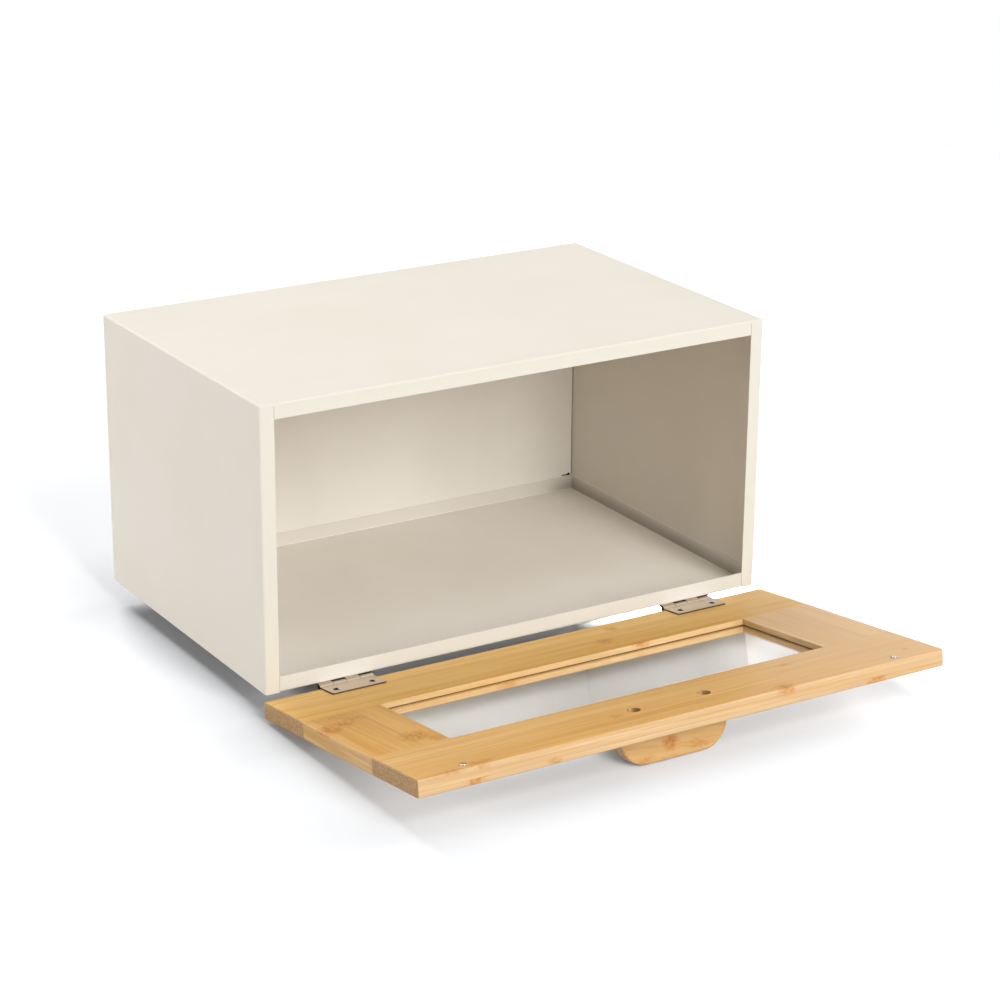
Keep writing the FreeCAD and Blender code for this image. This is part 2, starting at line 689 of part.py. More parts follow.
def add_group(label, solid, seats):
    """A node that holds a copy of the solid at each seat."""
    copies = []
    for seat in seats:
        copy = solid.copy()
        copy.translate(seat)
        copies.append(copy)
    group = document.addObject("Part::Feature", label)
    group.Label = label
    group.Shape = Part.makeCompound(copies)
    return group


def make_leaf_screws():
    top = value("face_level + leaf_gauge")
    seats = [Vector(value("%s * hinge_offset + %s" % (sign, along)), -value("fixing_line"), top)
             for side, sign in SIDES for along in FIXINGS]
    screws = add_group("door_leaf_screws", countersunk_screw(), seats)
    place_on_pin(screws)
    return screws


def make_leaf_rivets():
    seats = [Vector(value("%s * hinge_offset + %s" % (sign, along)),
                    value("fixing_line - pin_forward"), value("sheet_gauge"))
             for side, sign in SIDES for along in FIXINGS]
    rivets = add_group("case_leaf_rivets", leaf_rivet(), seats)
    place_in_case(rivets)
    return rivets


def make_handle_screws():
    seats = [Vector(value(x), value(y), value("face_level - access_depth"))
             for x, y in handle_screw_centres()]
    screws = add_group("handle_screws", handle_screw(), seats)
    place_on_pin(screws)
    return screws


# --------------------------------------------------------------------------------------------------
# Assembly
# --------------------------------------------------------------------------------------------------
def build():
    parts = [make_body_wrap(), make_bottom_tray(), make_back_panel()]
    for end_name, y in (("front", "foot_from_end"), ("rear", "case_depth - foot_from_end")):
        for side, sign in SIDES:
            parts.append(make_foot("foot_%s_%s" % (end_name, side), sign, y))
    for side, sign in SIDES:
        parts += [make_case_leaf(side, sign), make_hinge_pin(side, sign), make_door_leaf(side, sign)]
    parts += [make_leaf_rivets(), make_leaf_screws()]
    parts += [make_hinge_rail(), make_handle_rail()]
    parts += [make_stile(side, sign) for side, sign in SIDES]
    parts += [make_dowels(), make_window_glass()]
    parts += [make_magnet(side, sign) for side, sign in SIDES]
    parts += [make_handle(), make_handle_screws()]
    document.recompute()
    return parts


def check(parts):
    """Stop on any object that failed, and on any piece with no sound shape."""
    for item in document.Objects:
        if "Invalid" in item.State or "Error" in item.State:
            raise RuntimeError("%s failed: %s" % (item.Label, item.State))
    for part in parts:
        if part.Shape.isNull() or not part.Shape.isValid() or not part.Shape.Solids:
            raise RuntimeError("%s has no sound shape" % part.Label)


parts = build()
check(parts)
os.makedirs("parts", exist_ok=True)
for part in parts:
    part.Shape.exportStep("parts/%s.step" % part.Label)
    box = part.Shape.BoundBox
    print("%-20s solids %d  volume %9.1f  x %7.2f %7.2f  y %7.2f %7.2f  z %7.2f %7.2f" % (
        part.Label, len(part.Shape.Solids), part.Shape.Volume,
        box.XMin, box.XMax, box.YMin, box.YMax, box.ZMin, box.ZMax))
print("open tilt %.3f degrees" % value("open_tilt"))
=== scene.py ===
"""Finishes, small fittings, light and camera for the bread box.

Every length is in metres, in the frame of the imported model: +Z up, +X to the right of someone who
faces the box, +Y to the back, and z = 0 on the table.
"""
import json
import math

import bmesh
import bpy
from mathutils import Matrix, Vector


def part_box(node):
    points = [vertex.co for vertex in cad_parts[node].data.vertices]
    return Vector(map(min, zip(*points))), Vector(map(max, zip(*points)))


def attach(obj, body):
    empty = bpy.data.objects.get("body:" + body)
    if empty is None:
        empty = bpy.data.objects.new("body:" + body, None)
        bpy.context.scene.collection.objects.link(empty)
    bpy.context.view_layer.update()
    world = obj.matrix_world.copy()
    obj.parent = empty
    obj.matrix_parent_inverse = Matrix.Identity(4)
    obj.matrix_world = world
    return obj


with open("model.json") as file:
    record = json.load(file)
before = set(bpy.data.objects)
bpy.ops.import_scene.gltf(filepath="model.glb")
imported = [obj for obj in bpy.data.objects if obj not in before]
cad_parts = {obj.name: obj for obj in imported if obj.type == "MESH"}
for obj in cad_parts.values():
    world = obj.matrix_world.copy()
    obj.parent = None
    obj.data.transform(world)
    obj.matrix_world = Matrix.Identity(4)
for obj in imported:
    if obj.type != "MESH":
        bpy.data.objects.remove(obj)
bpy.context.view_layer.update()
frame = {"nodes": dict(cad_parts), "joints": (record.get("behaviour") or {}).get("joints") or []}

X, Y, Z = 0, 1, 2

# --------------------------------------------------------------------------------------------------
# Places and sizes
# --------------------------------------------------------------------------------------------------
NODES = frame["nodes"]
SIDES = ("left", "right")

HINGE = frame["joints"][0]
PIN = Vector(HINGE["pos_m"])
OPEN_TILT = math.radians(90 - HINGE["range_deg"][1])
# From the door's own frame, in which it lies flat and the pin is the origin, to its place at rest.
DOOR_PLACE = Matrix.Translation(PIN) @ Matrix.Rotation(-OPEN_TILT, 4, "X")

# In the door's own frame: the face's drop below the pin, the boards' thickness, their outer face,
# and the top of the hinge leaf that lies on them.
FACE_DROP, BOARD_THICKNESS, LEAF_TOP = 0.0003, 0.012, 0.0007
OUTER_FACE = -FACE_DROP - BOARD_THICKNESS
# Half of the window's width, its edge near the pin, its depth, and the top of its pane.
WINDOW_HALF, WINDOW_NEAR, WINDOW_DEPTH, PANE_TOP = 0.147, -0.0596, 0.093, -0.0048
# The dark bead along the pane, put in the joint as painted shade: how far it goes into the wood,
# and how wide and how high it shows.
BEAD_BURIED, BEAD_SHOWS, BEAD_HEIGHT = 0.0008, 0.0003, 0.00045

# The hem under each case leaf: where it starts behind the pin, its depth and its thickness, how far
# it stops short of the leaf's ends, and the round on its edges.
LEAF_GAUGE = 0.001
HEM_START, HEM_DEPTH, HEM_THICKNESS, HEM_INSET, HEM_ROUND = 0.00245, 0.0015, 0.0008, 0.0003, 0.0002

CASE_LOW, CASE_HIGH = (Vector(corner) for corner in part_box("body_wrap"))
CASE_MIDDLE = (CASE_LOW + CASE_HIGH) / 2
# Half sizes of the box in which the coat counts as the case's inside: 0.7 mm below its skin.
SKIN = Vector((0.0007, 0.0007, 0.0007))
CASE_INSIDE = (CASE_HIGH - CASE_LOW) / 2 - SKIN

# --------------------------------------------------------------------------------------------------
# Studio
# --------------------------------------------------------------------------------------------------
BOX_MIDDLE = Vector((0.0, 0.03, 0.1))
LAMP_REACH = 3.0
SOFT, SMALL = 1.3, 0.4
# Name, azimuth, elevation, watts and size of each lamp.
BOX_LAMPS = [("front_low", 0, 12, 20.5, SOFT), ("front", 0, 35, 41.0, SOFT),
             ("front_right", 20, 20, 19.5, SOFT), ("front_high", 0, 60, 17.0, SOFT),
             ("back", 180, 35, 30.5, SOFT), ("back_high", 180, 60, 20.0, SOFT),
             ("back_left", 225, 12, 29.5, SOFT), ("left", 270, 12, 29.5, SOFT),
             ("right", 90, 8, 24.0, SOFT)]
TABLE_LAMPS = [("front_low", 0, 12, 285.0, SOFT), ("front", 0, 35, 88.0, SOFT),
               ("right", 90, 12, 238.0, SOFT), ("right_low", 85, 5, 115.0, SMALL),
               ("back", 180, 35, 170.0, SOFT), ("left", 270, 12, 111.0, SOFT)]
# Low strips on the right brighten the table in the gap under the case and behind the pane: name,
# place, what the strip faces, height and watts.
STRIPS = [("gap", Vector((0.5, 0.02, 0.061)), Vector((0.1, 0.02, 0.0)), 0.014, 0.45),
          ("pane", Vector((0.5, -0.09, 0.05)), Vector((0.1, -0.09, 0.0)), 0.04, 0.07)]
STRIP_WIDTH, STRIP_SPREAD = 0.04, math.radians(12)
# How bright the table looks, and how much light it throws back at the box.
TABLE_WHITE = (0.394, 0.4, 0.409, 1)
TABLE_GREY = (0.2, 0.2, 0.2, 1)
TABLE_REACH = 1.3

CAMERA_PLACE = Vector((-0.98318, -1.58862, 0.78787))
# Azimuth, elevation and roll, in degrees.
CAMERA_ANGLES = (-30.671, 20.877, 0.157)
CAMERA_LENS, CAMERA_SENSOR, CAMERA_SHIFT = 103.141, 36.0, (0.0422, 0.0510)


# --------------------------------------------------------------------------------------------------
# Building materials from nodes
# --------------------------------------------------------------------------------------------------
def shade(name):
    """Colour from its six hexadecimal digits, as linear light with full opacity."""
    parts = [int(name[index:index + 2], 16) / 255 for index in (0, 2, 4)]
    linear = [part / 12.92 if part <= 0.04045 else ((part + 0.055) / 1.055) ** 2.4
              for part in parts]
    return (*linear, 1.0)


class Mixture:
    """A node tree being built: each call adds nodes and gives back an output."""

    def __init__(self, tree):
        self.tree = tree

    def feed(self, socket, source):
        """Link an output to a socket, or set the socket to a fixed value."""
        if isinstance(source, bpy.types.NodeSocket):
            self.tree.links.new(source, socket)
        elif source is not None:
            socket.default_value = source

    def add(self, kind, inputs=(), output=0, **settings):
        node = self.tree.nodes.new(kind)
        for name, setting in settings.items():
            setattr(node, name, setting)
        for name, source in dict(inputs).items():
            self.feed(node.inputs[name], source)
        return node.outputs[output]

    def do(self, operation, first, second=None, third=None, clamp=False):
        inputs = {0: first, 1: second, 2: third}
        return self.add("ShaderNodeMath", inputs, operation=operation, use_clamp=clamp)

    def gap(self, value, middle):
        """How far a value is from the middle, either way."""
        return self.do("ABSOLUTE", self.do("SUBTRACT", value, middle))

    def ramp(self, source, low, high, low_value=0.0, high_value=1.0):
        """Smooth change from low_value to high_value while the source goes from low to high."""
        inputs = {"Value": source, "From Min": low, "From Max": high,
                  "To Min": low_value, "To Max": high_value}
        return self.add("ShaderNodeMapRange", inputs, interpolation_type="SMOOTHSTEP")

    def parts(self, vector):
        """The three numbers of a vector."""
        return self.add("ShaderNodeSeparateXYZ", {"Vector": vector}).node.outputs

    def join(self, x, y, z=None):
        return self.add("ShaderNodeCombineXYZ", {"X": x, "Y": y, "Z": z})

    def do_vector(self, operation, first, second=None):
        return self.add("ShaderNodeVectorMath", {0: first, 1: second}, operation=operation)

    def length(self, vector):
        return self.add("ShaderNodeVectorMath", {0: vector}, output=1, operation="LENGTH")

    def noise(self, point, scale, detail=2.0, roughness=0.5):
        inputs = {"Vector": point, "Scale": scale, "Detail": detail, "Roughness": roughness}
        return self.add("ShaderNodeTexNoise", inputs)

    def chance(self, first, second):
        """The same random number wherever both whole numbers are the same."""
        pair = self.join(first, second)
        return self.add("ShaderNodeTexWhiteNoise", {"Vector": pair}, noise_dimensions="2D")

    def blend(self, share, first, second, blend_type="MIX"):
        inputs = {0: share, 6: first, 7: second}
        return self.add("ShaderNodeMix", inputs, output=2, data_type="RGBA", blend_type=blend_type)

    def stain(self, colour, share, strength, tone):
        """The colour with a tone laid over it, by its share times its strength."""
        return self.blend(self.do("MULTIPLY", share, strength), colour, tone)

    def in_sight(self):
        """1 where a ray carries what is seen, mirrored or looked at through glass, and else 0."""
        path = self.add("ShaderNodeLightPath").node.outputs
        seen = self.do("ADD", path["Is Camera Ray"], path["Is Glossy Ray"])
        return self.do("ADD", seen, path["Is Transmission Ray"], clamp=True)


class Finish(Mixture):
    """A material being mixed round its principled shader."""

    def __init__(self, name, **shader_values):
        self.material = bpy.data.materials.new(name)
        self.material.use_nodes = True
        super().__init__(self.material.node_tree)
        self.shader = self.tree.nodes["Principled BSDF"]
        for socket, number in shader_values.items():
            self.shader.inputs[socket.replace("_", " ")].default_value = number

    def set(self, socket, source):
        self.feed(self.shader.inputs[socket], source)

    def show(self, surface):
        """Show a surface other than the principled shader."""
        self.feed(self.tree.nodes["Material Output"].inputs["Surface"], surface)

    def object_point(self):
        return self.add("ShaderNodeTexCoord", output="Object")

    def object_normal(self):
        return self.add("ShaderNodeTexCoord", output="Normal")

    def flat_point(self):
        """The point in the door's own frame."""
        inputs = {"Vector": self.object_point(), "Location": PIN, "Rotation": (-OPEN_TILT, 0, 0)}
        return self.add("ShaderNodeMapping", inputs, vector_type="TEXTURE")

    def flat_facing(self):
        """The way the surface faces in the door's own frame, as three numbers."""
        inputs = {"Vector": self.object_normal(), "Rotation": (OPEN_TILT, 0, 0)}
        return self.parts(self.add("ShaderNodeMapping", inputs, vector_type="NORMAL"))

    def scaled_point(self, scale):
        return self.add("ShaderNodeMapping", {"Vector": self.object_point(), "Scale": scale})

    def bump(self, height, distance, strength):
        inputs = {"Height": height, "Distance": distance, "Strength": strength}
        self.set("Normal", self.add("ShaderNodeBump", inputs))


# --------------------------------------------------------------------------------------------------
# Powder coat
# --------------------------------------------------------------------------------------------------
# The two tones outside, the cloud inside, the painted shade along the folds, and the painted shade
# where the sheets lap.
OUTSIDE = ("EBE4D9", "E9E2D5")
CLOUD, FOLD_SHADE, LAP_SHADE = "D6CFC0", "6A5D48", "3B3329"
# How far from the side walls the painted shade of the folds reaches, and where the rim and the
# painted shade of the lap lie, from the case's front and from its back.
FOLD_SHADE_REACH, RIM_EDGE, LAP_SHADE_EDGE = (-0.03, -0.001), (0.0002, 0.0006), (0.0012, 0.0009)


def powder_coat(name, inside_flat_painted_tone, inside_upright_painted_tone, rim_painted_shade="E0DCD0", fold_shade_depth=0.0, fold_shade_rise=0.0):
    """Satin cream powder coat over folded steel: fine orange peel, with painted light and shade in
    its own tones inside and in a darker tone on the rim.

    Painted shade darkens the coat along the folds at the foot of the side walls, by the fold depth
    given, and no more at the fold rise given above them.
    """
    coat = Finish(name, Specular_IOR_Level=0.16)
    point = coat.object_point()
    place, facing = coat.parts(point), coat.parts(coat.object_normal())
    cloud = coat.ramp(coat.noise(point, 9.0, 3.0), 0.35, 0.65)
    outside = coat.blend(cloud, *map(shade, OUTSIDE))
    # Painted shade: the rim's front face takes its own darker tone.
    on_rim = coat.ramp(place[Y], CASE_LOW.y + RIM_EDGE[0], CASE_LOW.y + RIM_EDGE[1], 1.0, 0.0)
    outside = coat.blend(on_rim, outside, shade(rim_painted_shade))

    # Painted light and shade inside: flat faces and upright walls take their own tones, apart from
    # the outside's.
    upright = coat.ramp(coat.do("ABSOLUTE", facing[Z]), 0.3, 0.7, 1.0, 0.0)
    inside = coat.blend(upright, shade(inside_flat_painted_tone), shade(inside_upright_painted_tone))
    inside = coat.stain(inside, cloud, 0.25, shade(CLOUD))
    # How far the point lies outside the case's inner space, along each axis.
    beyond = coat.do_vector("ABSOLUTE", coat.do_vector("SUBTRACT", point, CASE_MIDDLE))
    beyond = coat.parts(coat.do_vector("SUBTRACT", beyond, CASE_INSIDE))
    # Painted shade along the folds at the foot of the side walls.
    if fold_shade_depth:
        foot = coat.ramp(place[Z], CASE_LOW.z + 0.001, CASE_LOW.z + fold_shade_rise, 1.0, 0.0)
        fold_shade = coat.do("MULTIPLY", coat.ramp(beyond[X], *FOLD_SHADE_REACH, 0.0, fold_shade_depth), foot)
        inside = coat.blend(fold_shade, inside, shade(FOLD_SHADE))

    farthest = coat.do("MAXIMUM", coat.do("MAXIMUM", beyond[X], beyond[Y]), beyond[Z])
    colour = coat.blend(coat.ramp(farthest, -0.0005, 0.0001), inside, outside)
    # Painted shade: where the back panel laps the case's flange, the coat is painted dark, so the
    # slot in the panel looks shaded.
    at_lap = coat.ramp(place[Y], CASE_HIGH.y - LAP_SHADE_EDGE[0], CASE_HIGH.y - LAP_SHADE_EDGE[1])
    lap_shade = coat.do("MULTIPLY", at_lap, coat.ramp(facing[Y], -0.9, -0.5, 1.0, 0.0))
    coat.set("Base Color", coat.blend(lap_shade, colour, shade(LAP_SHADE)))
    coat.set("Roughness", coat.ramp(coat.noise(point, 60.0, 2.0), 0.3, 0.7, 0.62, 0.7))
    coat.bump(coat.noise(point, 700.0, 2.0, 0.6), 0.00003, 0.5)
    return coat.material


# --------------------------------------------------------------------------------------------------
# Bamboo
# --------------------------------------------------------------------------------------------------
BAMBOO_STRIP, PLY_HEIGHT, NODE_SPACING = 0.019, 0.004, 0.31
# How far the fibres step aside at a node.
NODE_SWELL = 0.0028
# Tones of the painted sheen that makes the face paler at the right, of dry patches on planed
# sides, of a node's cloud and its dashes, and of glue.
PAINTED_SHEEN_TONE, DRY_PATCH, NODE_CLOUD, NODE_DASH, GLUE = "EEC79C", "F2CFA6", "D18A33", "AA6418", "A87440"
# How much of the colour the painted shade on the door's outer face lets through.
OUTER_FACE_SHADE = (0.8, 0.79, 0.86, 1)
# Dark, light and dry tones of a sawn end.
SAWN = ("7C572D", "A27842", "BA9766")
# The handle tab's ends take paler sawn tones: painted light on ends that lie in the door's shade.
PALE_SAWN = ("D8A468", "F0C68C", "F6D8AE")
# Light, dark, streak and fibre tones.
GOLDEN = ("F0C480", "E0AB5C", "D19645", "C88D46")
AMBER = ("F8CB7A", "E9B352", "DA9D3E", "D1933D")
HONEY = ("F0C074", "E1A850", "D2943B", "C98B3B")
ROSY = ("F3CA8E", "E3B066", "D49B4D", "CB924E")
TAWNY = ("DFB67A", "D09E56", "C28B40", "BA8241")


class Board:
    """How one piece of the door is cut from laminated bamboo, in the door's own frame.

    along, across and through are the board's axes: the way the fibres run, the width of the strips
    and the stack of plies. strip_start and ply_start are where the first strip and ply begin. The
    marks are places where a node shows: its middle, its half sizes and its strength. The noded ply
    has a node on each strip besides, every so often, moved along by node_shift. slant is how far
    the strips lean for each metre along, and the sheen share is how pale a painted sheen makes the
    face at the right.
    """

    def __init__(self, along, across, through, strip_start, ply_start, side_tone, tones, marks=(),
                 slant=0.0, noded_ply=0, end_tones=SAWN, painted_sheen=0.45, node_shift=0.0):
        self.along, self.across, self.through = along, across, through
        self.strip_start, self.ply_start, self.slant = strip_start, ply_start, slant
        self.side_tone, self.tones, self.end_tones, self.painted_sheen = side_tone, tones, end_tones, painted_sheen
        self.marks, self.noded_ply, self.node_shift = marks, noded_ply, node_shift


BOARDS = {
    "door_hinge_rail": Board(X, Y, Z, -0.0026, OUTER_FACE, "B79A78", AMBER, [
        ((0.064, -0.0165, -0.001), (0.007, 0.007, 0.004), 0.55),
        ((0.044, -0.0390, -0.001), (0.009, 0.008, 0.004), 0.7),
        ((0.061, -0.0600, -0.001), (0.010, 0.005, 0.004), 0.8)], painted_sheen=0.1),
    "door_handle_rail": Board(X, Y, Z, -0.1526, OUTER_FACE, "C8AD8A", GOLDEN, [
        ((-0.157, -0.2050, -0.002), (0.012, 0.006, 0.006), 0.8),
        ((-0.182, -0.2080, -0.001), (0.022, 0.003, 0.003), 0.7),
        ((-0.106, -0.2096, -0.0105), (0.007, 0.004, 0.004), 0.6),
        ((-0.0435, -0.1860, -0.001), (0.007, 0.006, 0.004), 0.45),
        ((0.074, -0.2060, -0.002), (0.010, 0.007, 0.006), 1.0),
        ((0.1025, -0.1680, -0.001), (0.009, 0.004, 0.003), 0.45),
        ((0.185, -0.1935, -0.001), (0.004, 0.003, 0.003), 0.4)], node_shift=0.37),
    "door_stile_left": Board(Y, X, Z, -0.204, OUTER_FACE, "A67F38", HONEY, [
        ((-0.199, -0.0870, -0.001), (0.013, 0.012, 0.004), 1.0),
        ((-0.186, -0.0810, -0.001), (0.012, 0.010, 0.004), 0.75),
        ((-0.174, -0.0745, -0.001), (0.011, 0.009, 0.004), 0.6),
        ((-0.182, -0.0640, -0.001), (0.026, 0.010, 0.004), 0.4),
        ((-0.161, -0.1340, -0.001), (0.015, 0.013, 0.004), 0.85),
        ((-0.153, -0.1450, -0.001), (0.007, 0.010, 0.004), 0.85)]),
    "door_stile_right": Board(Y, X, Z, 0.147, OUTER_FACE, "83612F", ROSY),
    "handle_tab": Board(X, Z, Y, OUTER_FACE, -0.1872, "EBC48E", TAWNY, [
        ((-0.004, -0.1872, -0.0257), (0.008, 0.006, 0.007), 1.0),
        ((-0.024, -0.1872, -0.0355), (0.012, 0.006, 0.006), 0.5),
        ((-0.002, -0.1872, -0.0370), (0.020, 0.006, 0.004), 0.35),
        ((0.018, -0.1872, -0.0310), (0.014, 0.006, 0.006), 0.4)],
        slant=0.12, noded_ply=2, end_tones=PALE_SAWN),
}


class Bamboo(Finish):
    """Laminated bamboo: plies of glued strips, each strip with its own tone and nodes."""

    def __init__(self, name, board):
        super().__init__(name, Specular_IOR_Level=0.45)
        self.board = board
        self.flat = self.flat_point()
        self.place, self.facing = self.parts(self.flat), self.flat_facing()
        # Where a point lies along each of the board's axes, and in which strip and ply.
        self.run, self.deep = self.place[board.along], self.place[board.through]
        lean = self.do("MULTIPLY", self.run, board.slant)
        self.wide = self.do("ADD", self.place[board.across], lean)
        strip = self.do("SUBTRACT", self.wide, board.strip_start)
        strip = self.do("FLOOR", self.do("DIVIDE", strip, BAMBOO_STRIP))
        from_start = self.do("SUBTRACT", self.deep, board.ply_start)
        self.stack = self.do("DIVIDE", from_start, PLY_HEIGHT)
        self.ply = self.do("FLOOR", self.stack)
        self.tone = self.chance(strip, self.ply)
        self.phase = self.chance(self.do("ADD", strip, 37.0), self.ply)
        self.side = self.ramp(self.do("ABSOLUTE", self.facing[board.across]), 0.1, 0.5)
        self.end = self.ramp(self.do("ABSOLUTE", self.facing[board.along]), 0.1, 0.5)
        self.node = self.find_nodes()
        self.bent = self.do("ADD", self.wide, self.do("MULTIPLY", self.node, NODE_SWELL))

    def find_nodes(self):
        """1 at the heart of a node, and 0 away from all of them."""
        ragged_edge = self.noise(self.flat, 330.0, 3.0, 0.6)
        shown = None
        for middle, reach, strength in self.board.marks:
            away = self.do_vector("SUBTRACT", self.flat, middle)
            far = self.length(self.do_vector("DIVIDE", away, reach))
            far = self.do("ADD", far, self.do("MULTIPLY", ragged_edge, 0.9))
            mark = self.ramp(far, 0.55, 1.55, strength, 0.0)
            shown = self.do("MAXIMUM", shown, mark) if shown else mark
        turn = self.do("MULTIPLY_ADD", self.run, 1 / NODE_SPACING, self.board.node_shift)
        turn = self.do("MULTIPLY_ADD", self.phase, 7.0, turn)
        away = self.do("MULTIPLY", self.gap(self.do("FRACT", turn), 0.5), NODE_SPACING)
        away = self.do("ADD", away, self.do("MULTIPLY", ragged_edge, 0.010))
        on_noded_ply = self.do("COMPARE", self.ply, self.board.noded_ply, 0.1)
        node = self.do("MULTIPLY", self.ramp(away, 0.006, 0.017, 0.8, 0.0), on_noded_ply)
        return self.do("MAXIMUM", node, shown) if shown else node

    def grain(self, run_scale, cross_scale, detail=2.0, roughness=0.5, offset=0.0):
        """Noise that is drawn out along the fibres and parts round the nodes."""
        shift = self.do("MULTIPLY_ADD", self.phase, 5.0, offset)
        point = self.join(self.do("MULTIPLY_ADD", self.run, run_scale, shift),
                          self.do("MULTIPLY", self.bent, cross_scale),
                          self.do("MULTIPLY", self.deep, cross_scale))
        return self.noise(point, 1.0, detail, roughness)

    def face_colour(self, fibre):
        """Strips differ a little in tone, and drift slowly along their length."""
        light, dark, streak_tone, fibre_tone = map(shade, self.board.tones)
        tone = self.do("ADD", self.do("MULTIPLY", self.tone, 0.4),
                       self.do("MULTIPLY", self.grain(4.0, 30.0), 0.6))
        colour = self.blend(self.ramp(tone, 0.25, 0.75), dark, light)
        # Dark streaks, pale ones and fine fibres run the whole way.
        streak = self.ramp(self.grain(4.5, 150.0, 3.0, 0.5), 0.42, 0.8, 0.0, 0.8)
        colour = self.blend(streak, colour, streak_tone)
        pale = self.ramp(self.grain(6.0, 330.0, 2.0, 0.5, 11.0), 0.45, 0.85, 0.0, 0.7)
        colour = self.blend(pale, colour, light)
        colour = self.blend(self.ramp(fibre, 0.4, 0.85, 0.0, 0.5), colour, fibre_tone)
        # Painted sheen: the face is painted paler towards the right, where the lacquer would shine
        # with the bright surroundings.
        painted_sheen = self.do("MULTIPLY", self.ramp(self.place[X], 0.05, 0.2, 0.0, self.board.painted_sheen),
                        self.do("SUBTRACT", 1.0, self.side))
        return self.blend(painted_sheen, colour, shade(PAINTED_SHEEN_TONE))

    def plane_sides(self, colour):
        """The planed sides of the strips are paler, with dry patches and fine dark lines."""
        colour = self.stain(colour, self.side, 0.6, shade(self.board.side_tone))
        patch = self.ramp(self.grain(14.0, 260.0, 3.0, 0.6, 23.0), 0.4, 0.75, 0.0, 0.45)
        colour = self.blend(self.do("MULTIPLY", self.side, patch), colour, shade(DRY_PATCH))
        line = self.ramp(self.grain(7.0, 520.0, 3.0, 0.6, 31.0), 0.5, 0.72, 0.0, 0.6)
        line = self.do("MULTIPLY", self.side, line)
        return self.blend(line, colour, shade(self.board.tones[2]))

    def saw_ends(self, colour):
        """The sawn ends are brown and speckled, in layers."""
        layers = self.join(self.do("MULTIPLY", self.wide, 170.0),
                           self.do("MULTIPLY", self.deep, 1100.0),
                           self.do("MULTIPLY", self.run, 600.0))
        dark, light, dry_tone = map(shade, self.board.end_tones)
        speck = self.ramp(self.noise(layers, 1.0, 4.0, 0.7), 0.3, 0.7)
        sawn = self.blend(speck, dark, light)
        dry = self.ramp(self.noise(self.flat, 700.0, 3.0, 0.6), 0.48, 0.66, 0.0, 0.75)
        return self.stain(colour, self.end, 0.85, self.blend(dry, sawn, dry_tone))

    def show_nodes(self, colour):
        """A node is a warm cloud with short brown dashes in it."""
        colour = self.stain(colour, self.node, 0.75, shade(NODE_CLOUD))
        dashes = self.ramp(self.grain(240.0, 520.0, 2.0), 0.42, 0.6)
        dashes = self.do("MULTIPLY", self.node, dashes)
        return self.stain(colour, dashes, 0.65, shade(NODE_DASH))

    def mix(self):
        fibre = self.grain(18.0, 1100.0, 3.0, 0.65)
        colour = self.plane_sides(self.face_colour(fibre))
        colour = self.show_nodes(self.saw_ends(colour))
        # Painted shade: the door's outer face is painted a little darker, against the strong light
        # on it when the door is shut.
        outer_face_shade = self.ramp(self.facing[Z], -0.8, -0.3, 1.0, 0.0)
        colour = self.blend(outer_face_shade, colour, OUTER_FACE_SHADE, "MULTIPLY")
        # Glue lines show between the plies.
        seam = self.ramp(self.gap(self.do("FRACT", self.stack), 0.5), 0.44, 0.49)
        seam = self.do("MULTIPLY", seam, self.do("MAXIMUM", self.side, self.end))
        self.set("Base Color", self.stain(colour, seam, 0.3, shade(GLUE)))
        self.set("Roughness", self.ramp(fibre, 0.3, 0.8, 0.38, 0.48))
        self.bump(fibre, 0.00004, 0.35)
        return self.material


# --------------------------------------------------------------------------------------------------
# Metal, glass, rubber and beech
# --------------------------------------------------------------------------------------------------
# How finely the brush of the leaves and the flecks of the dowels repeat along each axis.
BRUSH, FLECKS = (60, 3000, 3000), (900, 120, 900)
# How far from the axis of the pin the dull barrel, painted in shade, ends.
BARREL_EDGE = (0.0020, 0.0028)
# How much a screw's head leans to the right in the middle of its painted glint, how far from that
# the glint ends, and how far below the leaf's top the painted shade of the slot is full.
GLINT_LEAN, GLINT_EDGE, SLOT_SHADE_BELOW = 0.12, (0.13, 0.16), 0.0003


def satin_nickel():
    """Champagne nickel with a fine brush along the hinge, dull on its barrel, and with painted
    shade on the barrel, the cut edges and the ends.
    """
    plate = Finish("satin_nickel", Metallic=1.0)
    brush = plate.noise(plate.scaled_point(BRUSH), 1.0, 2.0)
    colour = plate.blend(brush, shade("CFC1AE"), shade("DACCB8"))
    off_pin = plate.length(plate.do_vector("MULTIPLY", plate.flat_point(), (0, 1, 1)))
    barrel_dull_and_shaded = plate.ramp(off_pin, *BARREL_EDGE, 1.0, 0.0)
    # Painted shade: the barrel, the cut edges and, darkest, the ends.
    colour = plate.stain(colour, barrel_dull_and_shaded, 0.75, shade("9A8E7D"))
    facing = plate.flat_facing()
    flatness, endways = (plate.do("ABSOLUTE", facing[axis]) for axis in (Z, X))
    cut_edge_shade = plate.do("SUBTRACT", plate.ramp(flatness, 0.3, 0.8, 1.0, 0.0), barrel_dull_and_shaded, clamp=True)
    colour = plate.blend(cut_edge_shade, colour, shade("5E4A36"))
    colour = plate.blend(plate.ramp(endways, 0.5, 0.9), colour, shade("33271B"))
    plate.set("Base Color", colour)
    rough = plate.ramp(brush, 0.3, 0.7, 0.34, 0.46)
    plate.set("Roughness", plate.do("MULTIPLY_ADD", barrel_dull_and_shaded, 0.3, rough))
    plate.bump(brush, 0.00001, 0.3)
    return plate.material


def bright_nickel():
    """Polished nickel with a few fine rubs."""
    plate = Finish("bright_nickel", Metallic=1.0)
    speckle = plate.noise(plate.object_point(), 900.0, 3.0, 0.7)
    plate.set("Base Color", plate.blend(speckle, shade("AFA9A0"), shade("C9C4BB")))
    plate.set("Roughness", plate.ramp(speckle, 0.4, 0.7, 0.14, 0.3))
    return plate.material


